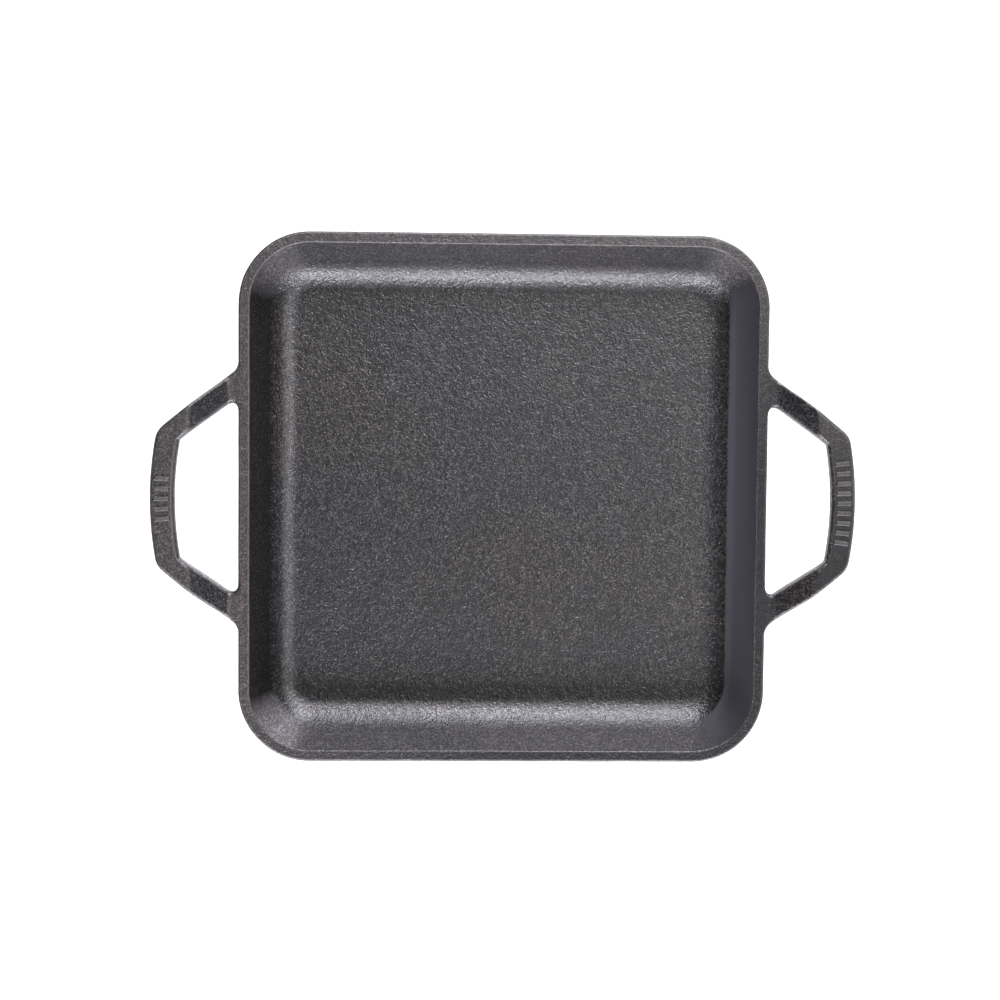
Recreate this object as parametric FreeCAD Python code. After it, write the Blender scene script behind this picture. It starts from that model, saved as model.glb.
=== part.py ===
import FreeCAD, Part
import math
import os

from FreeCAD import Vector

# Square cast iron pan with two open loop handles.
#
# The pan is one iron casting. It is written here as the named regions of that
# casting: a flat floor, four straight walls, four rounded corners, the rim
# round the mouth, and on each side a loop handle of two arms and a grip.
# The regions meet face to face, and every size is in millimetres.
#
# Frame: +Z up, origin on the underside at the middle, X along the handles.
# The front is -Y and the rear is +Y.

# ---- pan ----
RIM_SIDE = 280.0            # outer side of the square rim
RIM_CORNER_RADIUS = 38.0    # outer corner of the rim in plan
RIM_WIDTH = 5.8             # flat top of the rim
RIM_DEPTH = 6.0             # height of the band counted as the rim
RIM_UPRIGHT = 2.5           # the rim's outer face is upright over this height
RIM_OUTER_EDGE_RADIUS = 1.2
RIM_INNER_EDGE_RADIUS = 0.8
PAN_HEIGHT = 36.5           # underside to rim
FLOOR_THICKNESS = 4.5
INNER_WALL_LEAN = 20.0      # degrees from vertical
OUTER_WALL_LEAN = 23.0      # degrees from vertical
COVE_RADIUS = 16.5          # inside, between wall and floor
BASE_EDGE_RADIUS = 14.0     # outside, between wall and underside
FLOOR_JOINT_INSET = 29.5    # rim's outer edge to the edge of the floor plate

# ---- loop handles ----
GRIP_OUTER_RADIUS = 184.1   # both faces of a grip are arcs about the pan's centre
GRIP_INNER_RADIUS = 171.1
ARM_ANGLE = 39.4            # plan angle between an arm and the X axis, degrees
ARM_OUTER_ROOT_Y = 68.7     # where an arm's outer side meets the rim
ARM_INNER_ROOT_Y = 53.7     # where its inner side meets the rim
ARM_START_X = 135.5         # inside the wall, before the wall is taken away
HANDLE_THICKNESS = 8.0
HANDLE_RISE = 16.0          # top of the grip above the rim
RISE_START_X = 145.2
RISE_END_X = 163.5
LOWER_BEND_RADIUS = 3.0     # top side, where the arm turns up from the rim
UPPER_BEND_RADIUS = 5.0     # top side, where it levels out into the grip
UNDERSIDE_BEND_RADIUS = 7.0
OUTER_CORNER_RADIUS = 13.0
INNER_CORNER_RADIUS = 2.0
ROOT_FILLET_RADIUS = 7.0    # inside the loop, against the wall
OUTER_ROOT_FILLET_RADIUS = 2.5
HANDLE_EDGE_RADIUS = 1.8

# ---- raised ribs on the grips ----
RIB_HEIGHT = 0.7
RIB_WIDTH = 2.4
RIB_LENGTH = 7.6
RIB_PITCH = 5.2
LEFT_RIB_COUNT = 5
RIGHT_RIB_COUNT = 9

# ---- worked out from the sizes above ----
HALF_SIDE = RIM_SIDE / 2
STRAIGHT_HALF = HALF_SIDE - RIM_CORNER_RADIUS
RIM_BOTTOM_Z = PAN_HEIGHT - RIM_DEPTH
GRIP_TOP_Z = PAN_HEIGHT + HANDLE_RISE
ARM_SLOPE = math.tan(math.radians(ARM_ANGLE))

SIDES = (("right", 0), ("rear", 90), ("left", 180), ("front", 270))
CORNERS = (("rear_right", 0), ("rear_left", 90), ("front_left", 180), ("front_right", 270))
Z_AXIS = Vector(0, 0, 1)
CENTRE = Vector(0, 0, 0)


def outer_inset(z):
    """Distance from the rim's outer edge in to the leaning outer wall at height z."""
    return (PAN_HEIGHT - RIM_UPRIGHT - z) * math.tan(math.radians(OUTER_WALL_LEAN))


def inner_inset(z):
    """Distance from the rim's outer edge in to the inner wall at height z."""
    return RIM_WIDTH + (PAN_HEIGHT - z) * math.tan(math.radians(INNER_WALL_LEAN))


def rounded_face(corners):
    """Face inside a closed outline of (point, corner radius) pairs."""
    edges = []
    points = [point for point, radius in corners]
    ends = []
    for i, (point, radius) in enumerate(corners):
        to_last = (points[i - 1] - point).normalize()
        to_next = (points[(i + 1) % len(points)] - point).normalize()
        if radius == 0:
            ends.append((point, point))
            continue
        half_angle = to_last.getAngle(to_next) / 2
        setback = radius / math.tan(half_angle)
        bisector = (to_last + to_next).normalize()
        middle = point + bisector * (radius / math.sin(half_angle) - radius)
        first = point + to_last * setback
        second = point + to_next * setback
        ends.append((first, second))
        edges.append(Part.Arc(first, middle, second).toShape())
    for i in range(len(ends)):
        start = ends[i][1]
        stop = ends[(i + 1) % len(ends)][0]
        edges.append(Part.LineSegment(start, stop).toShape())
    return Part.Face(Part.Wire(Part.__sortEdges__(edges)))


def section(outline):
    """Face on the +X side, from (inset, height, corner radius) points."""
    return rounded_face([(Vector(HALF_SIDE - d, 0, z), r) for d, z, r in outline])


def wall_section():
    """Wall, cove and base edge, up to the underside of the rim band."""
    return section([
        (outer_inset(RIM_BOTTOM_Z), RIM_BOTTOM_Z, 0),
        (inner_inset(RIM_BOTTOM_Z), RIM_BOTTOM_Z, 0),
        (inner_inset(FLOOR_THICKNESS), FLOOR_THICKNESS, COVE_RADIUS),
        (FLOOR_JOINT_INSET, FLOOR_THICKNESS, 0),
        (FLOOR_JOINT_INSET, 0, 0),
        (outer_inset(0), 0, BASE_EDGE_RADIUS),
    ])


def rim_section():
    return section([
        (0, PAN_HEIGHT - RIM_UPRIGHT, 0),
        (0, PAN_HEIGHT, RIM_OUTER_EDGE_RADIUS),
        (RIM_WIDTH, PAN_HEIGHT, RIM_INNER_EDGE_RADIUS),
        (inner_inset(RIM_BOTTOM_Z), RIM_BOTTOM_Z, 0),
        (outer_inset(RIM_BOTTOM_Z), RIM_BOTTOM_Z, 0),
    ])


def turned(shape, angle):
    copy = shape.copy()
    copy.rotate(CENTRE, Z_AXIS, angle)
    return copy


def straight_run(face):
    """The section drawn along the straight part of the +X side."""
    run = face.copy()
    run.translate(Vector(0, -STRAIGHT_HALF, 0))
    return run.extrude(Vector(0, 2 * STRAIGHT_HALF, 0))


def corner_run(face):
    """The section turned through the corner after the +X side."""
    run = face.copy()
    run.translate(Vector(0, STRAIGHT_HALF, 0))
    axis_point = Vector(STRAIGHT_HALF, STRAIGHT_HALF, 0)
    return run.revolve(axis_point, Z_AXIS, 90)


def pan_floor():
    half = HALF_SIDE - FLOOR_JOINT_INSET
    radius = RIM_CORNER_RADIUS - FLOOR_JOINT_INSET
    corners = [(half, half), (-half, half), (-half, -half), (half, -half)]
    plate = rounded_face([(Vector(x, y, 0), radius) for x, y in corners])
    return plate.extrude(Vector(0, 0, FLOOR_THICKNESS))


def rim():
    face = rim_section()
    pieces = []
    for name, angle in SIDES:
        pieces.append(turned(straight_run(face), angle))
        pieces.append(turned(corner_run(face), angle))
    ring = pieces[0].fuse(pieces[1:])
    return ring.removeSplitter()


def arc_meets_line(radius, root_y):
    """Point where an arm's side, from the rim at root_y, meets a grip arc."""
    offset = root_y + ARM_SLOPE * HALF_SIDE
    a = 1 + ARM_SLOPE ** 2
    b = -2 * ARM_SLOPE * offset
    c = offset ** 2 - radius ** 2
    x = (-b + math.sqrt(b * b - 4 * a * c)) / (2 * a)
    return Vector(x, offset - ARM_SLOPE * x, 0)


def mirrored_y(point):
    return Vector(point.x, -point.y, point.z)


def root_flare(root_y, radius, inside_loop):
    """Where a root fillet leaves the rim's edge line, and where it meets the arm."""
    arm_tilt = math.radians(90 - ARM_ANGLE if inside_loop else 90 + ARM_ANGLE)
    setback = radius / math.tan(arm_tilt / 2)
    toward = -1 if inside_loop else 1
    on_rim = Vector(HALF_SIDE, root_y + toward * setback, 0)
    angle = math.radians(ARM_ANGLE)
    on_arm = Vector(HALF_SIDE + setback * math.cos(angle), root_y - setback * math.sin(angle), 0)
    centre = on_rim + Vector(radius, 0, 0)
    half_way = ((on_rim - centre) + (on_arm - centre)).normalize() * radius + centre
    return on_rim, half_way, on_arm


def plan_prism(grip_radius, root_y, fillet, inside_loop, low, high):
    """Upright prism bounded by one side of both arms and one face of the grip."""
    on_rim, half_way, on_arm = root_flare(root_y, fillet, inside_loop)
    grip_end = arc_meets_line(grip_radius, root_y)
    start = Vector(ARM_START_X, on_rim.y, 0)
    upper = [
        Part.LineSegment(start, on_rim).toShape(),
        Part.Arc(on_rim, half_way, on_arm).toShape(),
        Part.LineSegment(on_arm, grip_end).toShape(),
    ]
    lower = [
        Part.LineSegment(mirrored_y(start), mirrored_y(on_rim)).toShape(),
        Part.Arc(mirrored_y(on_rim), mirrored_y(half_way), mirrored_y(on_arm)).toShape(),
        Part.LineSegment(mirrored_y(on_arm), mirrored_y(grip_end)).toShape(),
    ]
    arc = Part.Arc(grip_end, Vector(grip_radius, 0, 0), mirrored_y(grip_end)).toShape()
    closing = Part.LineSegment(start, mirrored_y(start)).toShape()
    wire = Part.Wire(Part.__sortEdges__(upper + lower + [arc, closing]))
    face = Part.Face(wire)
    face.translate(Vector(0, 0, low))
    prism = face.extrude(Vector(0, 0, high - low))
    corner_radius = INNER_CORNER_RADIUS if inside_loop else OUTER_CORNER_RADIUS
    return prism.makeFillet(corner_radius, upright_edges_at(prism, grip_end))


def upright_edges_at(prism, corner):
    """The two upright edges of a prism at a plan point and its mirror image."""
    found = []
    for edge in prism.Edges:
        first = edge.Vertexes[0].Point
        last = edge.Vertexes[-1].Point
        upright = abs(first.x - last.x) + abs(first.y - last.y) < 1e-6
        if upright and abs(first.x - corner.x) + abs(abs(first.y) - corner.y) < 1e-4:
            found.append(edge)
    return found


def elevation_band():
    """Side view of a handle, level, rising, then level, drawn across the loop."""
    slope = math.atan2(HANDLE_RISE, RISE_END_X - RISE_START_X)
    shift = HANDLE_THICKNESS * math.tan(slope / 2)
    end_x = GRIP_OUTER_RADIUS + HANDLE_THICKNESS
    half_width = ARM_OUTER_ROOT_Y + HANDLE_THICKNESS
    outline = [
        (ARM_START_X, PAN_HEIGHT, 0),
        (RISE_START_X, PAN_HEIGHT, LOWER_BEND_RADIUS),
        (RISE_END_X, GRIP_TOP_Z, UPPER_BEND_RADIUS),
        (end_x, GRIP_TOP_Z, 0),
        (end_x, GRIP_TOP_Z - HANDLE_THICKNESS, 0),
        (RISE_END_X + shift, GRIP_TOP_Z - HANDLE_THICKNESS, UNDERSIDE_BEND_RADIUS),
        (RISE_START_X + shift, PAN_HEIGHT - HANDLE_THICKNESS, UNDERSIDE_BEND_RADIUS),
        (ARM_START_X, PAN_HEIGHT - HANDLE_THICKNESS, 0),
    ]
    face = rounded_face([(Vector(x, -half_width, z), r) for x, z, r in outline])
    return face.extrude(Vector(0, 2 * half_width, 0))


def rounded_handle_edges(loop):
    """Round every edge of a loop except the short upright ones and those in the wall."""
    chosen = []
    for edge in loop.Edges:
        box = edge.BoundBox
        upright = box.XLength + box.YLength < 1
        in_wall = box.XMin < ARM_START_X + 0.01
        if not upright and not in_wall:
            chosen.append(edge)
    return loop.makeFillet(HANDLE_EDGE_RADIUS, chosen)


def handle_loop():
    """The +X handle, still running into the wall."""
    low = RIM_BOTTOM_Z - 2 * HANDLE_THICKNESS
    high = GRIP_TOP_Z + HANDLE_THICKNESS
    outside = plan_prism(GRIP_OUTER_RADIUS, ARM_OUTER_ROOT_Y, OUTER_ROOT_FILLET_RADIUS, False, low, high)
    opening = plan_prism(GRIP_INNER_RADIUS, ARM_INNER_ROOT_Y, ROOT_FILLET_RADIUS, True, low, high)
    return outside.cut(opening).common(elevation_band())


def wedge(first_angle, last_angle):
    """Upright block between two directions from the pan's centre."""
    reach = 2 * RIM_SIDE
    points = [CENTRE]
    for angle in (first_angle, last_angle):
        turn = math.radians(angle)
        points.append(Vector(reach * math.cos(turn), reach * math.sin(turn), 0))
    outline = Part.makePolygon(points + [CENTRE])
    return Part.Face(outline).extrude(Vector(0, 0, reach))


def only_solid(shape):
    """The one solid of a shape, or the largest where a sliver comes with it."""
    return max(shape.Solids, key=lambda solid: solid.Volume)


def handle_regions(loop, pan_side):
    """Grip and two arms of the +X handle, cut clear of the wall and rim."""
    corner = arc_meets_line(GRIP_INNER_RADIUS, ARM_INNER_ROOT_Y)
    split = math.degrees(math.atan2(corner.y, corner.x))
    trimmed = loop.cut(pan_side)
    return {
        "grip": only_solid(trimmed.common(wedge(-split, split))),
        "lower_y_arm": only_solid(trimmed.common(wedge(-80, -split))),
        "upper_y_arm": only_solid(trimmed.common(wedge(split, 80))),
    }


def grip_ribs(count):
    """Short bars across the top of the +X grip, evenly spaced along its arc."""
    middle_radius = (GRIP_OUTER_RADIUS + GRIP_INNER_RADIUS) / 2
    step = math.degrees(RIB_PITCH / middle_radius)
    ribs = []
    for i in range(count):
        corner = Vector(middle_radius - RIB_LENGTH / 2, -RIB_WIDTH / 2, GRIP_TOP_Z)
        rib = Part.makeBox(RIB_LENGTH, RIB_WIDTH, RIB_HEIGHT, corner)
        upper_edges = [edge for edge in rib.Edges if edge.BoundBox.ZMin > GRIP_TOP_Z + RIB_HEIGHT / 2]
        rib = rib.makeFillet(RIB_HEIGHT / 2, upper_edges)
        ribs.append(turned(rib, (i - (count - 1) / 2) * step))
    return Part.makeCompound(ribs)


def build():
    nodes = {"pan_floor": pan_floor(), "rim": rim()}
    face = wall_section()
    for name, angle in SIDES:
        nodes[name + "_wall"] = turned(straight_run(face), angle)
    for name, angle in CORNERS:
        nodes[name + "_corner"] = turned(corner_run(face), angle)

    loop = rounded_handle_edges(handle_loop())
    pan_side = nodes["rim"].fuse(nodes["right_wall"])
    regions = handle_regions(loop, pan_side)
    nodes["right_handle_grip"] = regions["grip"]
    nodes["right_handle_front_arm"] = regions["lower_y_arm"]
    nodes["right_handle_rear_arm"] = regions["upper_y_arm"]
    nodes["left_handle_grip"] = turned(regions["grip"], 180)
    nodes["left_handle_front_arm"] = turned(regions["upper_y_arm"], 180)
    nodes["left_handle_rear_arm"] = turned(regions["lower_y_arm"], 180)
    nodes["right_grip_ribs"] = grip_ribs(RIGHT_RIB_COUNT)
    nodes["left_grip_ribs"] = turned(grip_ribs(LEFT_RIB_COUNT), 180)
    return nodes


os.makedirs("parts", exist_ok=True)
for node_name, node_shape in build().items():
    node_shape.exportStep("parts/" + node_name + ".step")
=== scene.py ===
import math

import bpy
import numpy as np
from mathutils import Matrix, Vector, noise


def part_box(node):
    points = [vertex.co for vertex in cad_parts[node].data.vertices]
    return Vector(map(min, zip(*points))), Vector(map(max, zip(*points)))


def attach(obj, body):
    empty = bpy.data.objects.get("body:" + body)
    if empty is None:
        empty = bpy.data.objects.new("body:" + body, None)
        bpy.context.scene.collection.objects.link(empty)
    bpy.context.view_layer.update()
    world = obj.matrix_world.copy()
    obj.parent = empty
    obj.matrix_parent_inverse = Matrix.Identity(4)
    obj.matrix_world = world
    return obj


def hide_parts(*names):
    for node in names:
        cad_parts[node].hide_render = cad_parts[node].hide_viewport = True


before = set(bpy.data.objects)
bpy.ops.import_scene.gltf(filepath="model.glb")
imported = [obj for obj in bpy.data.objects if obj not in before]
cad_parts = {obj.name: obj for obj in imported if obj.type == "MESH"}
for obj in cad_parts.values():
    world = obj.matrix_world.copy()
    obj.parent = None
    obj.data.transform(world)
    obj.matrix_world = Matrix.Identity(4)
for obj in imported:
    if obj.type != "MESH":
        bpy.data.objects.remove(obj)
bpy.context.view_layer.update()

# Square cast iron pan with two loop handles, on a pale floor.
#
# The pan is one continuous skin: a section swept round the mouth, with each handle
# grown out of the side wall through a rounded root. It stands for every region of
# the casting, and the plain ribs on the two grips are set on it. Lengths are in
# metres, +X is to the right and -Y to the front.

# ---- places, from the frame ----
FLOOR_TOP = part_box("pan_floor")[1].z
RIM_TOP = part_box("rim")[1].z
HALF_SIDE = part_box("rim")[1].x
GRIP_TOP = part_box("right_handle_grip")[1].z
GRIP_OUTER_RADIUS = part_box("right_handle_grip")[1].x

# ---- the pan's section and plan ----
RIM_CORNER_RADIUS = 0.038
RIM_WIDTH = 0.0058
RIM_UPRIGHT = 0.0025
RIM_OUTER_EDGE_RADIUS = 0.0012
RIM_INNER_EDGE_RADIUS = 0.0008
WALL_BREAK_RADIUS = 0.002
INNER_WALL_LEAN = math.radians(20)
OUTER_WALL_LEAN = math.radians(23)
COVE_RADIUS = 0.0165
BASE_EDGE_RADIUS = 0.014
STRAIGHT_HALF = HALF_SIDE - RIM_CORNER_RADIUS

# ---- handles ----
GRIP_INNER_RADIUS = 0.1711
ARM_ANGLE = math.radians(39.4)
ARM_OUTER_ROOT_Y = 0.0687
ARM_INNER_ROOT_Y = 0.0537
HANDLE_THICKNESS = 0.008
HANDLE_EDGE_RADIUS = 0.0018
HANDLE_DRAFT = 0.0005       # how far a handle's sides lean in from its parting line
RISE_START_X = 0.1452
RISE_END_X = 0.1635
LOWER_BEND_RADIUS = 0.003
UPPER_BEND_RADIUS = 0.005
UNDERSIDE_BEND_RADIUS = 0.007
OUTER_CORNER_RADIUS = 0.013
INNER_CORNER_RADIUS = 0.002
ROOT_FILLET_INSIDE = 0.007
ROOT_FILLET_OUTSIDE = 0.0025
ROOT_FILLET_UNDER = 0.004
FILLET_CHANGE_ACROSS = (-0.004, 0.004)   # where the fillet turns from the inside's to the outside's
FILLET_CHANGE_BELOW = (-0.002, 0.003)    # and to the one underneath
ROOT_EDGE_X = (0.141, 0.146)             # where the rim's edge turns into the arm's

# ---- ribs on the grips ----
RIB_LENGTH = 0.0076
RIB_WIDTH = 0.0024
RIB_CORNER = 0.0007
LEAST_RIB_CORNER = 0.00015
RIB_CORNER_CELLS = 6
RIB_PITCH = 0.0052
RIB_PROFILE = (             # (inset, height above the grip), from the foot to the flat top
    (-0.00030, -0.0003), (-0.00018, 0.00002), (-0.00006, 0.00012), (0.0, 0.00028), (0.00004, 0.00044),
    (0.00012, 0.00058), (0.00024, 0.00067), (0.00040, 0.0007),
)
LEFT_RIB_COUNT = 5
RIGHT_RIB_COUNT = 9

# ---- the casting's slow unevenness ----
UNEVENNESS = 0.00012
UNEVENNESS_SEED = 7
SWELL_SCALE = 45            # 1/m
RIPPLE_SCALE = 110
EVEN_BELOW = 0.002          # the flat underside stays flat, and the unevenness grows above it
UNEVENNESS_RISE = 0.01

# ---- the iron's grain, as sand, grit, pebbles, mottling and wide patches ----
# Each is (features per metre, detail, roughness).
SAND = (1700, 1.0, 0.5)
GRIT = (750, 1.5, 0.5)
PEBBLE = (300, 2.0, 0.5)
MOTTLE = (55, 3.0, 0.6)
PATCH = (14, 2.0, 0.5)
DRIED_OIL = (9, 2.0, 0.5)
GRAINS = (SAND, GRIT, PEBBLE, MOTTLE, PATCH)
NOISE_SPAN = (0.25, 0.75)                                # of Blender's noise, taken as -1 to 1
GRAIN_DEPTHS = (0.00005, 0.00007, 0.00008)               # of the three finest
GRAIN_SHADES = (1.1, 0.6, 0.3, 0.14, 0.10)               # how much each lightens its peaks; on the three finest, which are also the bumps, this is painted shade in the hollows and painted glints on the peaks
GRAIN_ROUGHNESSES = (-0.09, -0.08, -0.04, -0.03, -0.02)  # and makes them glossier
SMOOTH_WALL_GRAIN = 0.12    # share of the grain that the smooth right wall keeps

# ---- the iron's colours, from the grain's hollows to its peaks: its own speckle, with painted shade in the hollows and painted glints on the peaks ----
IRON_DARK = (0.0010, 0.0009, 0.0010)
IRON_LIGHT = (0.050, 0.047, 0.046)
IRON_BROWN = (0.058, 0.0465, 0.040)          # the peaks on the rim, the arms and the grips
IRON_SHEEN = (0.075, 0.0715, 0.074)         # painted sheen, from the grain's hollows to its peaks
IRON_SHEEN_PEAKS = (0.27, 0.26, 0.265)
IRON_LIT_WALL = (0.039, 0.0378, 0.044)         # painted light on the smooth right wall, at the top and at the foot
IRON_LIT_WALL_FOOT = (0.072, 0.0695, 0.079)
IRON_WORN_GLINT = (0.040, 0.037, 0.035)            # outer bends and edges: wear and a painted highlight
IRON_ROUGHNESS = 0.32
IRON_IOR = 1.58
SHADE_SPAN = (-0.60, 0.70)                   # the grain's sum at the darkest and the lightest
SHADE_POWER = 3.0                            # keeps the light peaks few
SHARPEST_BEND = 300.0                        # 1/m, where the convexity mark reaches 1

# ---- soft edges of the iron's zones, as (start, end) ----
# "Facing" values are parts of the surface's own direction: +Z is 1 on level ground.
WALL_FACING_UP = (0.66, 0.70)
LEVEL_FACING_UP = (0.90, 0.98)
OUTSIDE_FACING_UP = (0.3, 0.6)
UNDERSIDE_FACING_UP = (-0.5, -0.2)
FOOT_START_FACING_UP = (0.975, 0.9995)
FOOT_END_FACING_UP = (0.84, 0.94)
FOOT_HEIGHT = (0.012, 0.02)
FOOT_NOT_RIGHT = (-0.12, -0.04)
FOOT_FACING_REAR = (-0.02, 0.2)
TOP_HEIGHT = (0.035, 0.036)
GRIP_HEIGHT = (0.036, 0.0525)
LEFT_WALL_FACING_RIGHT = (0.76, 0.92)
LEFT_WALL_X = (-0.118, -0.116)
SMOOTH_LIT_WALL_FACING_LEFT = (0.45, 0.80)
SMOOTH_LIT_WALL_X = (0.090, 0.110)
SMOOTH_LIT_WALL_END_X = (0.1345, 0.1355)
LIT_WALL_HEIGHT = (0.010, 0.034)
TOWARDS_FRONT_RIGHT = (-0.03, 0.09)
OUTWARD = (0.02, 0.06)
INWARD = (-0.06, -0.02)
CORNER_TURN = (0.12, 0.42)
FRONT_LEFT_CORNER = (0.3, 0.8)
FRONT_WALL_FACING_REAR = (0.6, 0.9)
SHARP_BEND = (0.45, 0.9)
GLINT_NOT_FACING_LEFT = (0.1, 0.4)
SHEEN_NOT_ON_LIT_WALL = (0, 0.5)
DRIED_OIL_SPAN = (0, 0.9)

# ---- how strong each zone is ----
DIAGONAL = math.sqrt(0.5)
SMOOTH_LIT_WALL_TURN = math.radians(25)          # its middle faces left and this much to the rear
# painted shade: how much darker the left wall's inside, the tops towards the front right and the
# outside are, and how much duller the last two
LEFT_WALL_SHADE = 0.66
TOP_SHADE = 0.95
TOP_SHADE_LESS_ON_GRIPS = 0.065
OUTSIDE_SHADE = 0.7
TOP_SHADE_DULLNESS = 0.40
OUTSIDE_SHADE_DULLNESS = 0.30
# painted sheen in the inside's corners, on the front wall and at the foot
CORNER_SHEEN = 0.32
FRONT_LEFT_CORNER_SHEEN = 0.9
FRONT_WALL_SHEEN = 0.18
FOOT_SHEEN = 0.18
FRONT_FOOT_SHEEN = 0.42
DRIED_PATCHES = 0.45
# painted light: how much the smooth right wall is lightened
LIT_WALL_COVER = 0.85
LEAST_WEAR = 0.4
WORN_ROUGHNESS = 0.08
LEVEL_ROUGHNESS = 0.13
OUTSIDE_ROUGHNESS = 0.14
SMOOTH_WALL_ROUGHNESS = 0.06

# ---- how finely the skin is divided ----
STRAIGHT_CELLS = 102
CORNER_CELLS = 26
SECTION_STEP = 0.0018
ELEVATION_STEP = 0.0005
LEAST_ARC_CELLS = 5
EDGE_SUPPORT = 0.00025
ARM_CELLS = 46
TURN_CELLS = 12
GRIP_CELLS = 66
ROOT_CELLS = 18             # rings of the arm that are shaped by the root's fillets
ROOT_OUTER_Y = 0.0725       # the patch of wall that a root grows out of
ROOT_INNER_Y = 0.0395
ROOT_LOW_Z = 0.0205
ROOT_RIM_INSET = 0.0028
SAME_HEIGHT = 1e-7          # rows this close to the rim's top count as on it
ROOT_SWEEPS = 80            # how often the root's rings are evened out
ROOT_KEEP = 0.4             # share of a point's own place, of its neighbours' along
ROOT_BESIDE = 0.25          # the ring, and of those on the rings before and after
ROOT_BETWEEN = 0.35


def corner_arc(before, corner, after, radius, step):
    """Points of the arc that rounds a corner, between its two tangent points."""
    back = (before - corner) / np.linalg.norm(before - corner)
    ahead = (after - corner) / np.linalg.norm(after - corner)
    half_angle = math.acos(float(np.clip(back @ ahead, -1, 1))) / 2
    middle = (back + ahead) / np.linalg.norm(back + ahead)
    centre = corner + middle * radius / math.sin(half_angle)
    setback = radius / math.tan(half_angle)
    start = (corner + back * setback - centre) / radius
    stop = (corner + ahead * setback - centre) / radius
    sweep = math.acos(float(np.clip(start @ stop, -1, 1)))
    cells = max(LEAST_ARC_CELLS, math.ceil(radius * (math.pi - 2 * half_angle) / step))
    points = []
    for t in np.linspace(0, 1, cells + 1):
        direction = start * math.sin((1 - t) * sweep) + stop * math.sin(t * sweep)
        points.append(centre + direction / math.sin(sweep) * radius)
    return points


def rounded_path(corners, step):
    """Points along an open path of (u, v, corner radius), closer together beside each arc."""
    places = [np.array(corner[:2]) for corner in corners]
    radii = [corner[2] for corner in corners]
    points = [places[0]]
    for i in range(1, len(corners)):
        arc = []
        end = places[i]
        if radii[i] > 0:
            arc = corner_arc(places[i - 1], places[i], places[i + 1], radii[i], step)
            end = arc[0]
        start = points[-1]
        fractions = straight_fractions(np.linalg.norm(end - start), step)
        points += [start + (end - start) * f for f in fractions]
        points += arc[1:]
    return np.array(points)


def straight_fractions(length, step):
    """Where a straight stretch is divided, as fractions of it, ending at 1."""
    if length < 4 * EDGE_SUPPORT:
        return [1.0]
    inner = length - 2 * EDGE_SUPPORT
    cells = max(1, math.ceil(inner / step))
    stops = [EDGE_SUPPORT + inner * i / cells for i in range(cells + 1)]
    return [stop / length for stop in stops] + [1.0]


def outer_inset(z):
    return (RIM_TOP - RIM_UPRIGHT - z) * math.tan(OUTER_WALL_LEAN)


def inner_inset(z):
    return RIM_WIDTH + (RIM_TOP - z) * math.tan(INNER_WALL_LEAN)


def pan_section():
    """From the underside out, up over the rim and down to the floor, as (reach, height)."""
    reach = RIM_CORNER_RADIUS
    return rounded_path([
        (0, 0, 0),
        (reach - outer_inset(0), 0, BASE_EDGE_RADIUS),
        (reach, RIM_TOP - RIM_UPRIGHT, WALL_BREAK_RADIUS),
        (reach, RIM_TOP, RIM_OUTER_EDGE_RADIUS),
        (reach - RIM_WIDTH, RIM_TOP, RIM_INNER_EDGE_RADIUS),
        (reach - inner_inset(FLOOR_TOP), FLOOR_TOP, COVE_RADIUS),
        (0, FLOOR_TOP, 0),
    ], SECTION_STEP)


def side_stops():
    """Where the straight part of a side is divided."""
    return np.linspace(-STRAIGHT_HALF, STRAIGHT_HALF, STRAIGHT_CELLS + 1)


def mouth_columns():
    """Base point and outward direction of each column, anticlockwise from the front of +X."""
    bases = []
    outs = []
    for side in range(4):
        turn = side * math.pi / 2
        for y in side_stops():
            bases.append((STRAIGHT_HALF, y, turn))
            outs.append(turn)
        for i in range(1, CORNER_CELLS):
            bases.append((STRAIGHT_HALF, STRAIGHT_HALF, turn))
            outs.append(turn + math.pi / 2 * i / CORNER_CELLS)
    bases = np.array(bases)
    outs = np.array(outs)
    x = bases[:, 0] * np.cos(bases[:, 2]) - bases[:, 1] * np.sin(bases[:, 2])
    y = bases[:, 0] * np.sin(bases[:, 2]) + bases[:, 1] * np.cos(bases[:, 2])
    return np.stack([x, y], 1), np.stack([np.cos(outs), np.sin(outs)], 1)


class Skin:
    """Vertices and faces of the casting while it is put together."""

    def __init__(self):
        self.points = []
        self.faces = []

    def add(self, points):
        start = len(self.points)
        self.points.extend(np.asarray(points, float))
        return list(range(start, len(self.points)))

    def face(self, *corners):
        kept = []
        for corner in corners:
            if corner not in kept:
                kept.append(corner)
        if len(kept) > 2:
            self.faces.append(kept)

    def strip(self, near, far, closed):
        """Quads between two rows of vertices of the same length."""
        count = len(near)
        for i in range(count if closed else count - 1):
            j = (i + 1) % count
            self.face(near[j], near[i], far[i], far[j])


def centre_grid(skin, z):
    """Square grid over the middle of the floor or underside."""
    rows = []
    for y in side_stops():
        rows.append(skin.add([(x, y, z) for x in side_stops()]))
    return rows


def grid_border(rows):
    """The grid's border vertices in the order of the mouth's columns."""
    last = STRAIGHT_CELLS
    sides = (
        [rows[i][last] for i in range(last + 1)],
        [rows[last][last - i] for i in range(last + 1)],
        [rows[last - i][0] for i in range(last + 1)],
        [rows[0][i] for i in range(last + 1)],
    )
    border = []
    for side in sides:
        border += side
        border += [side[-1]] * (CORNER_CELLS - 1)
    return border


def nearest(values, target, allowed=True):
    """Index of the allowed value that is nearest to the target."""
    return int(np.argmin(np.where(allowed, abs(values - target), np.inf)))


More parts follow.
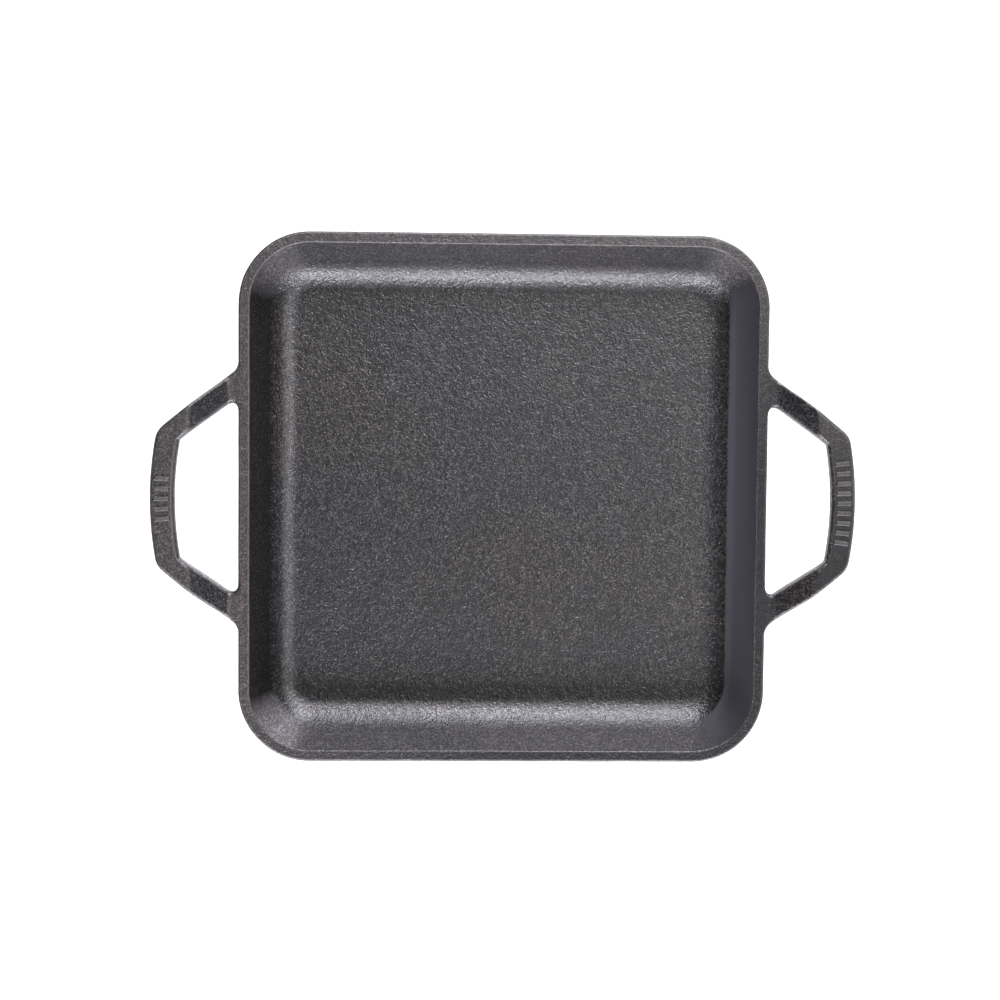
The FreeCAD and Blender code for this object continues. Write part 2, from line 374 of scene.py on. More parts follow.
def root_window(section):
    """Section rows and side columns of the patch that a handle's root replaces."""
    reach = section[:, 0]
    z = section[:, 1]
    outer_wall = np.arange(len(section)) < np.argmax(z >= RIM_TOP - RIM_UPRIGHT)
    outer_wall &= reach > RIM_CORNER_RADIUS / 2
    rim_top = abs(z - RIM_TOP) <= SAME_HEIGHT
    low = nearest(z, ROOT_LOW_Z, outer_wall)
    high = nearest(reach, RIM_CORNER_RADIUS - ROOT_RIM_INSET, rim_top)
    inner = nearest(side_stops(), ROOT_INNER_Y)
    outer = nearest(side_stops(), ROOT_OUTER_Y)
    return low, high, inner, outer


def pan_body(skin):
    """Floor, walls, rim and underside. Returns the edge loops of the four handle roots."""
    section = pan_section()
    bases, outs = mouth_columns()
    under = centre_grid(skin, 0.0)
    floor = centre_grid(skin, FLOOR_TOP)
    for i in range(STRAIGHT_CELLS):
        for j in range(STRAIGHT_CELLS):
            skin.face(under[i][j], under[i + 1][j], under[i + 1][j + 1], under[i][j + 1])
            skin.face(floor[i][j], floor[i][j + 1], floor[i + 1][j + 1], floor[i + 1][j])
    rings = [grid_border(under)]
    for reach, z in section[1:-1]:
        plan = bases + outs * reach
        rings.append(skin.add(np.column_stack([plan, np.full(len(plan), z)])))
    rings.append(grid_border(floor))

    low, high, inner, outer = root_window(section)
    side_length = STRAIGHT_CELLS + CORNER_CELLS
    holes = []
    for side in (0, 2):
        start = side * side_length
        holes.append((start + inner, start + outer))
        holes.append((start + STRAIGHT_CELLS - inner, start + STRAIGHT_CELLS - outer))
    for r in range(len(rings) - 1):
        near = rings[r]
        far = rings[r + 1]
        for c in range(len(near)):
            d = (c + 1) % len(near)
            if low <= r < high and any(min(h) <= c < max(h) for h in holes):
                continue
            skin.face(near[c], near[d], far[d], far[c])
    return [root_loop(rings, low, high, first, last) for first, last in holes]


def root_loop(rings, low, high, first, last):
    """Border of a root's hole: top inner to outer, down, bottom outer to inner, up."""
    step = 1 if last > first else -1
    top = [rings[high][c] for c in range(first, last, step)]
    down = [rings[r][last] for r in range(high, low, -1)]
    bottom = [rings[low][c] for c in range(last, first, -step)]
    up = [rings[r][first] for r in range(low, high)]
    return {"loop": top + down + bottom + up, "across": len(top), "upright": len(down)}


# ---- the handle's elevation, as heights over |x| ----
SLOPE_ANGLE = math.atan2(GRIP_TOP - RIM_TOP, RISE_END_X - RISE_START_X)
UNDER_SHIFT = HANDLE_THICKNESS * math.tan(SLOPE_ANGLE / 2)
TOP_LINE = rounded_path([
    (0, RIM_TOP, 0),
    (RISE_START_X, RIM_TOP, LOWER_BEND_RADIUS),
    (RISE_END_X, GRIP_TOP, UPPER_BEND_RADIUS),
    (2 * HALF_SIDE, GRIP_TOP, 0),
], ELEVATION_STEP)
UNDER_LINE = rounded_path([
    (0, RIM_TOP - HANDLE_THICKNESS, 0),
    (RISE_START_X + UNDER_SHIFT, RIM_TOP - HANDLE_THICKNESS, UNDERSIDE_BEND_RADIUS),
    (RISE_END_X + UNDER_SHIFT, GRIP_TOP - HANDLE_THICKNESS, UNDERSIDE_BEND_RADIUS),
    (2 * HALF_SIDE, GRIP_TOP - HANDLE_THICKNESS, 0),
], ELEVATION_STEP)


def top_height(x):
    return np.interp(x, TOP_LINE[:, 0], TOP_LINE[:, 1])


def under_height(x):
    return np.interp(x, UNDER_LINE[:, 0], UNDER_LINE[:, 1])


def arm_line_y(x, root_y):
    """Plan line of an arm's side, through (HALF_SIDE, root_y)."""
    return root_y - (x - HALF_SIDE) * math.tan(ARM_ANGLE)


def arc_crossing(radius, root_y):
    """Where an arm's side meets a grip face's circle about the pan's centre."""
    slope = math.tan(ARM_ANGLE)
    offset = root_y + slope * HALF_SIDE
    a = 1 + slope ** 2
    b = -2 * slope * offset
    c = offset ** 2 - radius ** 2
    x = (-b + math.sqrt(b * b - 4 * a * c)) / (2 * a)
    return np.array([x, offset - slope * x])


def plan_side(root_y, grip_radius, corner_radius):
    """One side of the loop in plan, from the rear root to the front root."""
    corner = arc_crossing(grip_radius, root_y)
    arm = np.array([math.cos(ARM_ANGLE), -math.sin(ARM_ANGLE)])
    polar = math.atan2(corner[1], corner[0])
    tangent = np.array([math.sin(polar), -math.cos(polar)])
    turn = math.acos(float(arm @ tangent))
    setback = corner_radius * math.tan(turn / 2)
    arm_end = corner - arm * setback
    grip_angle = polar - setback / grip_radius
    grip_start = grip_radius * np.array([math.cos(grip_angle), math.sin(grip_angle)])
    points = []
    root = np.array([HALF_SIDE, root_y])
    for t in np.linspace(0, 1, ARM_CELLS + 1):
        points.append(root + (arm_end - root) * t)
    for t in np.linspace(0, 1, TURN_CELLS + 1)[1:]:
        points.append((1 - t) ** 2 * arm_end + 2 * t * (1 - t) * corner + t ** 2 * grip_start)
    for angle in np.linspace(grip_angle, -grip_angle, GRIP_CELLS + 1)[1:]:
        points.append(grip_radius * np.array([math.cos(angle), math.sin(angle)]))
    rear_part = points[:ARM_CELLS + TURN_CELLS]
    points += [point * (1, -1) for point in reversed(rear_part)]
    return np.array(points)


def ring_template(across, upright, corner_cells=3):
    """Points of a rounded rectangle, clockwise from its top inner corner.

    Each row is (radii across, share of the flat width, radii up, share of the flat height).
    """
    def corner(angles, side, top):
        rows = []
        for angle in angles:
            reach = 1 - math.cos(angle)
            climb = 1 - math.sin(angle)
            rows.append((
                reach if side == 0 else 2 - reach, side,
                2 - climb if top else climb, 1 if top else 0,
            ))
        return rows

    quarter = math.pi / 4
    rising = [quarter + quarter * i / corner_cells for i in range(corner_cells)]
    falling = [math.pi / 2 - quarter * i / corner_cells for i in range(corner_cells)]
    flat = [i / (across - 2 * corner_cells) for i in range(across - 2 * corner_cells)]
    tall = [i / (upright - 2 * corner_cells) for i in range(upright - 2 * corner_cells)]
    low = [quarter * (corner_cells - i) / corner_cells for i in range(corner_cells)]
    up = [quarter * i / corner_cells for i in range(corner_cells)]
    rows = corner(rising, 0, True)
    rows += [(1, s, 2, 1) for s in flat]
    rows += corner(falling, 1, True)
    rows += corner(low, 1, True)
    rows += [(2, 1, 1, 1 - s) for s in tall]
    rows += corner(up, 1, False)
    rows += corner(rising, 1, False)
    rows += [(1, 1 - s, 0, 0) for s in flat]
    rows += corner(falling, 0, False)
    rows += corner(low, 0, False)
    rows += [(0, 0, 1, s) for s in tall]
    rows += corner(up, 0, True)
    return np.array(rows)


def handle_rings(across, upright):
    """Rings of the +X handle, from its rear root to its front root."""
    inner = plan_side(ARM_INNER_ROOT_Y, GRIP_INNER_RADIUS, INNER_CORNER_RADIUS)
    outer = plan_side(ARM_OUTER_ROOT_Y, GRIP_OUTER_RADIUS, OUTER_CORNER_RADIUS)
    template = ring_template(across, upright)
    run = np.gradient(outer + inner, axis=0)
    run /= np.linalg.norm(run, axis=1)[:, None]
    rings = []
    for a, b, along in zip(inner, outer, run):
        width = np.linalg.norm(b - a)
        line = (b - a) / width
        skew = abs(line[0] * along[1] - line[1] * along[0])
        radius = HANDLE_EDGE_RADIUS / skew
        reach = template[:, 0] * radius + template[:, 1] * (width - 2 * radius)
        plan = a + reach[:, None] * line
        low = under_height(plan[:, 0])
        tall = top_height(plan[:, 0]) - low
        climb = template[:, 2] * HANDLE_EDGE_RADIUS
        climb = climb + template[:, 3] * (tall - 2 * HANDLE_EDGE_RADIUS)
        off_middle = abs(2 * climb / tall - 1)
        lean = HANDLE_DRAFT / skew * off_middle * (1 - 2 * reach / width)
        plan = plan + lean[:, None] * line
        rings.append(np.column_stack([plan, low + climb]))
    return np.array(rings)


def smooth_step(x, low, high):
    t = np.clip((x - low) / (high - low), 0, 1)
    return t * t * (3 - 2 * t)


def mixed(a, b, share):
    return a + (b - a) * share


def rounded_meet(a, b, radius):
    """Distance to where two solids meet, with a rounded edge."""
    outside = np.hypot(np.maximum(a + radius, 0), np.maximum(b + radius, 0))
    return np.minimum(np.maximum(a, b), -radius) + outside


def rounded_join(a, b, radius):
    """Distance to two solids joined, with a fillet between them."""
    inside = np.hypot(np.maximum(radius - a, 0), np.maximum(radius - b, 0))
    return np.maximum(np.minimum(a, b), radius) - inside


def root_distance(points):
    """Signed distance to the casting round the rear root of the +X handle."""
    x, y, z = points[..., 0], points[..., 1], points[..., 2]
    spread = math.cos(ARM_ANGLE)
    inner_side = (arm_line_y(x, ARM_INNER_ROOT_Y) - y) * spread
    outer_side = (y - arm_line_y(x, ARM_OUTER_ROOT_Y)) * spread
    middle = (top_height(x) + under_height(x)) / 2
    draft = HANDLE_DRAFT * np.minimum(abs(z - middle) * 2 / HANDLE_THICKNESS, 1)
    sides = np.maximum(inner_side, outer_side) + draft
    below = under_height(x) - z
    arm = rounded_meet(sides, below, HANDLE_EDGE_RADIUS)
    break_z = RIM_TOP - RIM_UPRIGHT
    leaning = (x - HALF_SIDE) * math.cos(OUTER_WALL_LEAN) - (z - break_z) * math.sin(OUTER_WALL_LEAN)
    wall = np.maximum(x - HALF_SIDE, leaning)
    outward = smooth_step(outer_side - inner_side, *FILLET_CHANGE_ACROSS)
    fillet = mixed(ROOT_FILLET_INSIDE, ROOT_FILLET_OUTSIDE, outward)
    fillet = mixed(fillet, ROOT_FILLET_UNDER, smooth_step(below - sides, *FILLET_CHANGE_BELOW))
    joined = rounded_join(wall, arm, fillet)
    edge = mixed(RIM_OUTER_EDGE_RADIUS, HANDLE_EDGE_RADIUS, smooth_step(x, *ROOT_EDGE_X))
    return rounded_meet(joined, z - top_height(x), edge)


def settle(points, steps=4):
    """Move points onto the casting's surface near the root."""
    nudge = 2e-5
    least_steepness = 0.05
    for step in range(steps):
        value = root_distance(points)
        slope = np.stack([
            (root_distance(points + offset) - root_distance(points - offset)) / (2 * nudge)
            for offset in np.eye(3) * nudge
        ], -1)
        steepness = np.maximum((slope ** 2).sum(-1), least_steepness)
        points = points - slope * (value / steepness)[..., None]
    return points


def rooted_rings(rings, hole):
    """The handle's rings with the first ones grown out of the hole's border."""
    shaped = rings.copy()
    shaped[0] = hole
    for i in range(1, ROOT_CELLS):
        t = i / ROOT_CELLS
        shaped[i] = hole * (1 - t) + rings[ROOT_CELLS] * t
    for sweep in range(ROOT_SWEEPS):
        inner = shaped[1:ROOT_CELLS]
        beside = (np.roll(inner, 1, 1) + np.roll(inner, -1, 1)) / 2
        between = (shaped[:ROOT_CELLS - 1] + shaped[2:ROOT_CELLS + 1]) / 2
        evened = inner * ROOT_KEEP + beside * ROOT_BESIDE + between * ROOT_BETWEEN
        shaped[1:ROOT_CELLS] = settle(evened, 1)
    shaped[1:ROOT_CELLS] = settle(shaped[1:ROOT_CELLS])
    return shaped


def handle(skin, rear_root, front_root, turned):
    """One loop handle between its two roots; turned puts it on the -X side."""
    flip = np.array([-1, -1, 1]) if turned else np.array([1, 1, 1])
    mirror = np.array([1, -1, 1])
    first = np.array([skin.points[v] for v in rear_root["loop"]]) * flip
    last = np.array([skin.points[v] for v in front_root["loop"]]) * flip
    rings = handle_rings(rear_root["across"], rear_root["upright"])
    rings = rooted_rings(rings, first)
    rings = rooted_rings(rings[::-1] * mirror, last * mirror)[::-1] * mirror
    rows = [rear_root["loop"]]
    for ring in rings[1:-1]:
        rows.append(skin.add(ring * flip))
    rows.append(front_root["loop"])
    for near, far in zip(rows, rows[1:]):
        skin.strip(near, far, closed=True)


def mesh_object(name, points, faces):
    """Object of the given faces, without the points that no face uses."""
    used = sorted({corner for face in faces for corner in face})
    place = {old: new for new, old in enumerate(used)}
    mesh = bpy.data.meshes.new(name)
    kept_faces = [[place[corner] for corner in face] for face in faces]
    mesh.from_pydata([tuple(points[old]) for old in used], [], kept_faces)
    mesh.validate()
    mesh.shade_smooth()
    piece = bpy.data.objects.new(name, mesh)
    bpy.context.scene.collection.objects.link(piece)
    return piece


def stand_for(piece, nodes):
    """The piece rides with the casting, has its finish and stands for the nodes."""
    mark_convexity(piece.data)
    piece.data.materials.append(iron)
    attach(piece, "root")
    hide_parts(*nodes)


def mark_convexity(mesh):
    """Keep, at each vertex, how sharply the surface turns outwards there."""
    count = len(mesh.vertices)
    points = np.empty(count * 3)
    mesh.vertices.foreach_get("co", points)
    points = points.reshape(-1, 3)
    normals = np.empty(count * 3, dtype=np.float32)
    mesh.vertex_normals.foreach_get("vector", normals)
    normals = normals.reshape(-1, 3)
    ends = np.empty(len(mesh.edges) * 2, dtype=np.int32)
    mesh.edges.foreach_get("vertices", ends)
    first, last = ends.reshape(-1, 2).T
    run = points[last] - points[first]
    bend = ((normals[last] - normals[first]) * run).sum(1) / (run ** 2).sum(1)
    total = np.zeros(count)
    number = np.zeros(count)
    for end in (first, last):
        np.add.at(total, end, bend)
        np.add.at(number, end, 1)
    mark = mesh.attributes.new("convexity", "FLOAT", "POINT")
    mark.data.foreach_set("value", np.clip(total / number / SHARPEST_BEND, -1, 1).astype(np.float32))


def grip_ribs(name, count, turned):
    """Raised bars across the top of a grip, side by side along its arc."""
    skin = Skin()
    middle = (GRIP_OUTER_RADIUS + GRIP_INNER_RADIUS) / 2
    for i in range(count):
        angle = (i - (count - 1) / 2) * RIB_PITCH / middle + (math.pi if turned else 0)
        along = np.array([math.cos(angle), math.sin(angle)])
        across = np.array([-along[1], along[0]])
        rings = []
        for inset, height in RIB_PROFILE:
            plan = rounded_rectangle(RIB_LENGTH / 2 - inset, RIB_WIDTH / 2 - inset, RIB_CORNER - inset)
            flat = along * middle + plan[:, :1] * along + plan[:, 1:] * across
            rings.append(skin.add(np.column_stack([flat, np.full(len(flat), GRIP_TOP + height)])))
        for near, far in zip(rings, rings[1:]):
            skin.strip(far, near, closed=True)
        skin.faces.append(rings[0][::-1])
        skin.faces.append(rings[-1])
    return mesh_object(name, skin.points, skin.faces)


def rounded_rectangle(half_length, half_width, radius):
    radius = max(radius, LEAST_RIB_CORNER)
    points = []
    for quarter in range(4):
        x = (half_length - radius) * (1 if quarter in (0, 3) else -1)
        y = (half_width - radius) * (1 if quarter in (0, 1) else -1)
        for angle in np.linspace(quarter, quarter + 1, RIB_CORNER_CELLS + 1) * math.pi / 2:
            points.append((x + radius * math.cos(angle), y + radius * math.sin(angle)))
    return np.array(points)


def uneven(points):
    """Slow unevenness of a sand casting, nothing on the flat underside."""
    noise.seed_set(UNEVENNESS_SEED)
    moved = []
    for point in points:
        place = Vector(point)
        swell = noise.noise_vector(place * SWELL_SCALE)
        ripple = noise.noise_vector(place * RIPPLE_SCALE) / 2
        growth = min(1.0, max(0.0, (place.z - EVEN_BELOW) / UNEVENNESS_RISE))
        moved.append(place + (swell + ripple) * UNEVENNESS * growth)
    return moved


def iron_casting():
    skin = Skin()
    roots = pan_body(skin)
    handle(skin, roots[0], roots[1], turned=False)
    handle(skin, roots[2], roots[3], turned=True)
    return mesh_object("iron_casting", uneven(skin.points), skin.faces)


class Nodes:
    """Short names for the shader nodes that the iron and the sky need."""

    def __init__(self, tree):
        self.tree = tree

    def make(self, kind, sockets=None, **settings):
        node = self.tree.nodes.new(kind)
        for name, value in settings.items():
            setattr(node, name, value)
        for name, value in (sockets or {}).items():
            self.feed(node.inputs[name], value)
        return node

    def feed(self, socket, value):
        if isinstance(value, bpy.types.NodeSocket):
            self.tree.links.new(value, socket)
        else:
            socket.default_value = value

    def noise(self, place, scale, detail, roughness):
        """Noise about zero, from -1 to 1, with features about 1/scale metres apart."""
        node = self.make("ShaderNodeTexNoise", {
            "Vector": place, "Scale": scale, "Detail": detail, "Roughness": roughness})
        return self.fit(node.outputs["Fac"], NOISE_SPAN, (-1, 1))

    def parts(self, vector):
        return self.make("ShaderNodeSeparateXYZ", {"Vector": vector}).outputs

    def fit(self, value, span, new_span):
        """The value moved from one span to another, and held within it."""
        node = self.make("ShaderNodeMapRange", {
            "Value": value, "From Min": span[0], "From Max": span[1],
            "To Min": new_span[0], "To Max": new_span[1]})
        return node.outputs["Result"]

    def rise(self, value, span, top=1):
        return self.fit(value, span, (0, top))

    def fall(self, value, span):
        return self.fit(value, span, (1, 0))

    def math(self, operation, a, b=0.0):
        node = self.make("ShaderNodeMath", {0: a, 1: b}, operation=operation)
        return node.outputs[0]

    def product(self, *values):
        result = values[0]
        for value in values[1:]:
            result = self.math("MULTIPLY", result, value)
        return result

    def total(self, *weighted):
        """Sum of (value, weight) pairs."""
        result = None
        for value, weight in weighted:
            share = self.math("MULTIPLY", value, weight)
            result = share if result is None else self.math("ADD", result, share)
        return result

    def tint(self, colour, other, amount):
        """One colour mixed into another; each is a socket or (red, green, blue)."""
        node = self.make("ShaderNodeMix", data_type="RGBA")
        self.feed(node.inputs["Factor"], amount)
        for name, value in (("A", colour), ("B", other)):
            self.feed(node.inputs[name], (*value, 1) if isinstance(value, tuple) else value)
        return node.outputs["Result"]


class Spot:
    """Where a point of the iron lies, which way it faces and what its grain is."""

    def __init__(self, make):
        coordinates = make.make("ShaderNodeTexCoord")
        self.place = coordinates.outputs["Object"]
        self.x, self.y, self.z = make.parts(self.place)
        facing = make.parts(coordinates.outputs["Normal"])
        self.facing_right, self.facing_rear, self.facing_up = facing
        self.outward = make.math(
            "ADD", make.product(self.x, self.facing_right), make.product(self.y, self.facing_rear))
        self.facing_left = make.total(
            (self.facing_right, -math.cos(SMOOTH_LIT_WALL_TURN)),
            (self.facing_rear, math.sin(SMOOTH_LIT_WALL_TURN)))
        self.convexity = make.make("ShaderNodeAttribute", attribute_name="convexity").outputs["Fac"]
        self.grain = [make.noise(self.place, *kind) for kind in GRAINS]
        self.mottle = self.grain[GRAINS.index(MOTTLE)]


def smooth_lit_wall(make, spot):
    """The inside of the right wall, from its foot up and on round the front corner: smooth, and
    lighter and bluer by painted light.
    """
    return make.product(
        make.fall(spot.facing_up, WALL_FACING_UP),
        make.rise(spot.facing_left, SMOOTH_LIT_WALL_FACING_LEFT),
        make.rise(spot.x, SMOOTH_LIT_WALL_X),
        make.fall(spot.x, SMOOTH_LIT_WALL_END_X))


def level_top(make, spot):
    """The level tops of the rim, the arms and the grips."""
    return make.product(
        make.rise(spot.facing_up, LEVEL_FACING_UP), make.rise(spot.z, TOP_HEIGHT))


def top_painted_shade(make, spot, level):
    """Painted shade on the tops towards the front right, less on the grips: darker, and duller through
    a dark metallic share.
    """
    towards = make.total(
        (spot.x, DIAGONAL), (spot.y, -DIAGONAL),
        (make.rise(spot.z, GRIP_HEIGHT), -TOP_SHADE_LESS_ON_GRIPS))
    return make.product(level, make.rise(towards, TOWARDS_FRONT_RIGHT, TOP_SHADE))


# Painted shade: the inside of the left wall is darkened.
def left_wall_painted_shade(make, spot):
    return make.product(
        make.rise(spot.facing_right, LEFT_WALL_FACING_RIGHT, LEFT_WALL_SHADE),
        make.fall(spot.x, LEFT_WALL_X))


def outside_painted_shade(make, spot):
    """Painted shade on the outside of the walls and on the underside: darker, and duller through a
    dark metallic share.
    """
    wall_or_under = make.math(
        "MAXIMUM", make.rise(spot.outward, OUTWARD), make.fall(spot.facing_up, UNDERSIDE_FACING_UP))
    return make.product(wall_or_under, make.fall(spot.facing_up, OUTSIDE_FACING_UP))


def painted_sheen_inside(make, spot, smooth_lit):
    """Painted sheen that makes the inside lighter: the corners, the front wall and the foot."""
    inside = make.product(
        make.fall(spot.facing_up, WALL_FACING_UP), make.fall(spot.outward, INWARD))
    turn = make.math("ABSOLUTE", make.product(spot.facing_right, spot.facing_rear))
    front_left = make.total((spot.facing_right, DIAGONAL), (spot.facing_rear, DIAGONAL))
    corners = make.product(
        inside, make.rise(turn, CORNER_TURN),
        make.fit(front_left, FRONT_LEFT_CORNER, (CORNER_SHEEN, FRONT_LEFT_CORNER_SHEEN)))
    front = make.product(
        inside, make.rise(spot.facing_rear, FRONT_WALL_FACING_REAR, FRONT_WALL_SHEEN))
    walls = make.product(make.math("ADD", corners, front), make.fall(smooth_lit, SHEEN_NOT_ON_LIT_WALL))
    foot = make.product(
        make.fall(spot.facing_up, FOOT_START_FACING_UP),
        make.rise(spot.facing_up, FOOT_END_FACING_UP),
        make.fall(spot.z, FOOT_HEIGHT),
        make.rise(spot.facing_right, FOOT_NOT_RIGHT),
        make.fit(spot.facing_rear, FOOT_FACING_REAR, (FOOT_SHEEN, FRONT_FOOT_SHEEN)))
    return make.math("ADD", walls, foot)


def worn_and_glinting_bends(make, spot):
    """Outer bends and edges lighter in patches, partly wear and partly a painted highlight, left off
    where they face left, as on the right wall's inside, away from the light.
    """
    return make.product(
        make.rise(spot.convexity, SHARP_BEND),
        make.fit(spot.mottle, (-1, 1), (LEAST_WEAR, 1)),
        make.fall(spot.facing_left, GLINT_NOT_FACING_LEFT))


def grain_bump(make, spot, grain_left):
    height = make.product(make.total(*zip(spot.grain, GRAIN_DEPTHS)), grain_left)
    bump = make.make("ShaderNodeBump", {"Height": height, "Distance": 1.0, "Strength": 1.0})
    return bump.outputs["Normal"]


def grain_shade(make, spot, painted_shade):
    """How light the grain is, from 0 in its hollows to 1 on its peaks, less under painted shade. On
    the bumps, the dark hollows are painted shade and the light peaks painted glints.
    """
    shade = make.total(*zip(spot.grain, GRAIN_SHADES))
    shade = make.math("POWER", make.rise(shade, SHADE_SPAN), SHADE_POWER)
    return make.product(shade, make.math("SUBTRACT", 1.0, painted_shade))


def iron_colour(make, spot, shade, level, smooth_lit, wear_and_glint):
    dried = make.rise(make.noise(spot.place, *DRIED_OIL), DRIED_OIL_SPAN, DRIED_PATCHES)
    peaks = make.tint(IRON_LIGHT, IRON_BROWN, make.math("MAXIMUM", level, dried))
    colour = make.tint(IRON_DARK, peaks, shade)
    # painted sheen on the inside's corners, front wall and foot
    sheen_colour = make.tint(IRON_SHEEN, IRON_SHEEN_PEAKS, shade)
    colour = make.tint(colour, sheen_colour, painted_sheen_inside(make, spot, smooth_lit))
    # painted light on the smooth right wall, lighter and bluer, most at its foot
    lit_wall_colour = make.tint(IRON_LIT_WALL_FOOT, IRON_LIT_WALL, make.rise(spot.z, LIT_WALL_HEIGHT))
    colour = make.tint(colour, lit_wall_colour, make.product(smooth_lit, LIT_WALL_COVER))
    # outer bends and edges lighter: wear and a painted highlight
    return make.tint(colour, IRON_WORN_GLINT, wear_and_glint)


def iron_roughness(make, spot, grain_left, zones):
    """The grain's peaks are glossier than its hollows; zones are (value, weight) pairs."""
    grain = make.product(make.total(*zip(spot.grain, GRAIN_ROUGHNESSES)), grain_left)
    return make.math("ADD", make.total((grain, 1.0), *zones), IRON_ROUGHNESS)


def seasoned_iron():
    """Oiled black cast iron: sandy skin, soft mottling, painted shade that darkens and dulls some
    places and painted sheen that lightens others.
    """
    material = bpy.data.materials.new("seasoned_iron")
    material.use_nodes = True
    shader = material.node_tree.nodes["Principled BSDF"]
    make = Nodes(material.node_tree)
    spot = Spot(make)
    smooth_lit = smooth_lit_wall(make, spot)
    grain_left = make.fit(smooth_lit, (0, 1), (1, SMOOTH_WALL_GRAIN))
    level = level_top(make, spot)
    tops = top_painted_shade(make, spot, level)
    outside = outside_painted_shade(make, spot)
    wear_and_glint = worn_and_glinting_bends(make, spot)
    # painted shade: the left wall's inside, the tops towards the front right and the outside are
    # darkened
    painted_shade = make.total((left_wall_painted_shade(make, spot), 1.0), (tops, 1.0), (outside, OUTSIDE_SHADE))
    shade = grain_shade(make, spot, painted_shade)
    zones = (
        (wear_and_glint, WORN_ROUGHNESS), (level, LEVEL_ROUGHNESS),
        (outside, OUTSIDE_ROUGHNESS), (smooth_lit, SMOOTH_WALL_ROUGHNESS))
    dullness = make.total((tops, TOP_SHADE_DULLNESS), (outside, OUTSIDE_SHADE_DULLNESS))
    make.feed(shader.inputs["Normal"], grain_bump(make, spot, grain_left))
    make.feed(shader.inputs["Base Color"], iron_colour(make, spot, shade, level, smooth_lit, wear_and_glint))
    make.feed(shader.inputs["Roughness"], iron_roughness(make, spot, grain_left, zones))
    make.feed(shader.inputs["Metallic"], dullness)      # a dark metallic share takes the gloss off, as painted shade on the tops towards the front right and on the outside
    shader.inputs["IOR"].default_value = IRON_IOR
    return material


iron = seasoned_iron()
stand_for(iron_casting(), [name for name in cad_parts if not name.endswith("_ribs")])
stand_for(grip_ribs("right_ribs", RIGHT_RIB_COUNT, turned=False), ["right_grip_ribs"])
stand_for(grip_ribs("left_ribs", LEFT_RIB_COUNT, turned=True), ["left_grip_ribs"])


# ---- floor ----
FLOOR_HALF = 4.0
FLOOR_GREY = 0.35
FLOOR_ROUGHNESS = 0.9
FLOOR_GLOW = 0.98


def pale_floor():
    """Plain floor that glows a little, so that it is as pale as the sky."""
    mesh = bpy.data.meshes.new("floor")
    signs = ((-1, -1), (1, -1), (1, 1), (-1, 1))
    mesh.from_pydata([(u * FLOOR_HALF, v * FLOOR_HALF, 0) for u, v in signs], [], [(0, 1, 2, 3)])
    material = bpy.data.materials.new("pale floor")
    material.use_nodes = True
    inputs = material.node_tree.nodes["Principled BSDF"].inputs
    inputs["Base Color"].default_value = (FLOOR_GREY, FLOOR_GREY, FLOOR_GREY, 1)
    inputs["Roughness"].default_value = FLOOR_ROUGHNESS
    inputs["Emission Color"].default_value = (1, 1, 1, 1)
    inputs["Emission Strength"].default_value = FLOOR_GLOW
    mesh.materials.append(material)
    ground = bpy.data.objects.new("floor", mesh)
    bpy.context.scene.collection.objects.link(ground)
    return ground


floor = pale_floor()


# ---- lights ----
COOL = (0.92, 0.905, 1.0)
WARM = (1.0, 0.97, 0.95)
LOW_DISTANCE = 1.6
HIGH_DISTANCE = 2.4


def aim(tilt, azimuth):
    """Direction at a tilt from straight up, azimuth from +X towards +Y, in degrees."""
    flat = math.sin(math.radians(tilt))
    turn = math.radians(azimuth)
    return Vector((flat * math.cos(turn), flat * math.sin(turn), math.cos(math.radians(tilt))))


def soft_box(name, direction, distance, size, power, colour):
    """Rectangular light that faces the pan from a direction."""
    data = bpy.data.lights.new(name, "AREA")
    data.shape = "RECTANGLE"
    data.size, data.size_y = size
    data.energy = power
    data.color = colour
    light = bpy.data.objects.new(name, data)
    light.location = direction * distance
    light.rotation_euler = direction.to_track_quat("Z", "Y").to_euler()
    light.visible_camera = False
    bpy.context.scene.collection.objects.link(light)


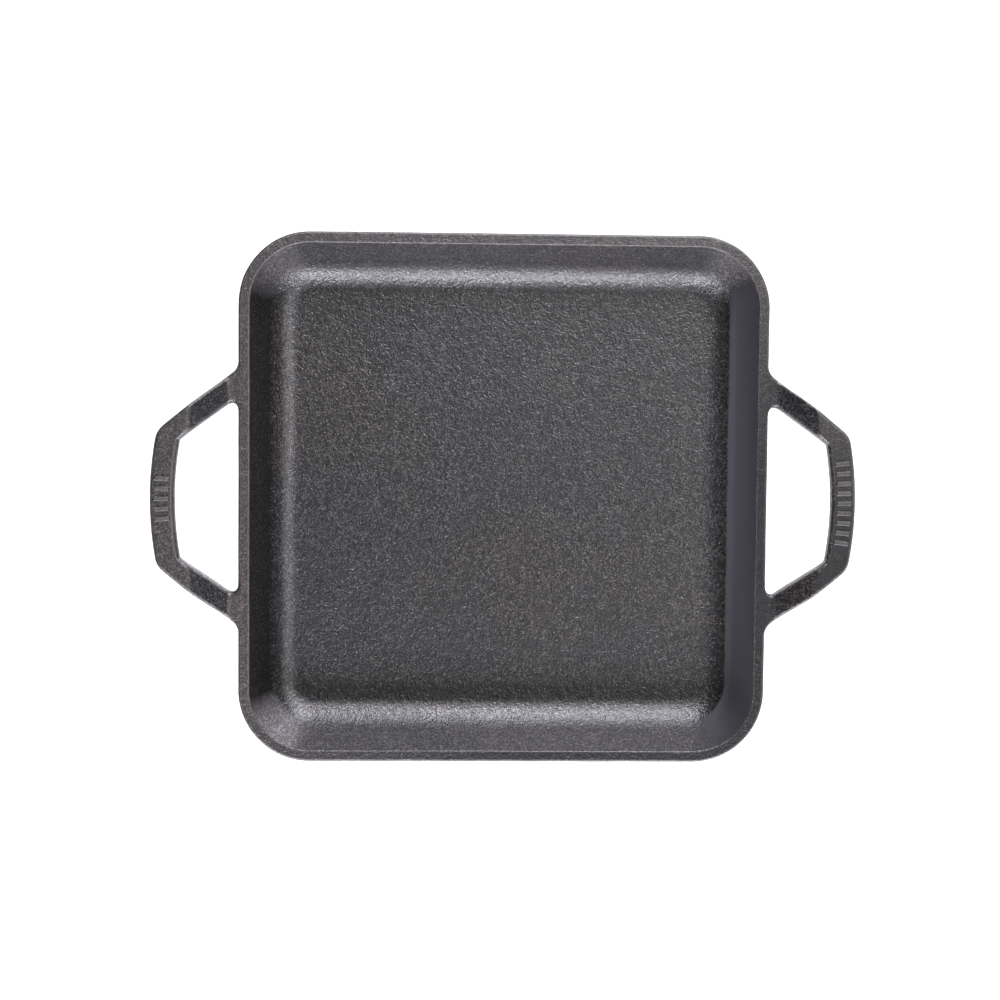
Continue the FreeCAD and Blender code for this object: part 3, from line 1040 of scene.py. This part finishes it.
soft_box("front_light", aim(55.5, 270), LOW_DISTANCE, (1.5, 0.6), 60, COOL)
soft_box("rear_light", aim(51, 76), LOW_DISTANCE, (1.1, 1.0), 50, COOL)
soft_box("low_corner_light", aim(80, 236), LOW_DISTANCE, (0.8, 0.3), 15, COOL)
soft_box("near_corner_light", aim(80, 304), LOW_DISTANCE, (0.8, 0.3), 18, COOL)
soft_box("far_corner_light", aim(76, 78), LOW_DISTANCE, (0.9, 0.3), 10, COOL)
soft_box("side_light", aim(34, 6), HIGH_DISTANCE, (0.8, 0.9), 13, WARM)
soft_box("rear_top_light", aim(32, 84), HIGH_DISTANCE, (1.1, 0.8), 11.5, WARM)
soft_box("front_top_light", aim(30, 268), HIGH_DISTANCE, (1.0, 0.5), 3, WARM)


# ---- sky ----
SKY_SEEN = {"Color": (1, 1, 1, 1), "Strength": 1.0}
SKY_SHINING = {"Color": (0.85, 0.9, 1.0, 1), "Strength": 0.03}


def pale_sky():
    """Sky that is pale to look at, and lights the pan very little."""
    world = bpy.data.worlds.new("studio")
    world.use_nodes = True
    make = Nodes(world.node_tree)
    seen = make.make("ShaderNodeBackground", SKY_SEEN)
    shining = make.make("ShaderNodeBackground", SKY_SHINING)
    looking = make.make("ShaderNodeLightPath").outputs["Is Camera Ray"]
    sky = make.make("ShaderNodeMixShader", {0: looking, 1: shining.outputs[0], 2: seen.outputs[0]})
    make.feed(world.node_tree.nodes["World Output"].inputs["Surface"], sky.outputs[0])
    return world


bpy.context.scene.world = pale_sky()
bpy.context.scene.view_settings.view_transform = "Standard"


# ---- camera ----
CAMERA_PLACE = Vector((-0.0317, 0.0467, RIM_TOP + 0.9))
CAMERA_AIM = Vector((-0.0020, -0.0002, RIM_TOP))
CAMERA_TURN = math.radians(0.518)
CAMERA_LENS = 61.36         # mm
CAMERA_SENSOR_WIDTH = 36


def overhead_camera():
    """Camera close above the pan, a little off its centre."""
    data = bpy.data.cameras.new("camera")
    data.sensor_width = CAMERA_SENSOR_WIDTH
    data.lens = CAMERA_LENS
    ahead = (CAMERA_AIM - CAMERA_PLACE).normalized()
    picture_up = Vector((-math.sin(CAMERA_TURN), math.cos(CAMERA_TURN), 0))
    right = ahead.cross(picture_up).normalized()
    turn = Matrix((right, right.cross(ahead), -ahead)).transposed().to_4x4()
    camera = bpy.data.objects.new("camera", data)
    camera.matrix_world = Matrix.Translation(CAMERA_PLACE) @ turn
    bpy.context.scene.collection.objects.link(camera)
    return camera


bpy.context.scene.camera = overhead_camera()
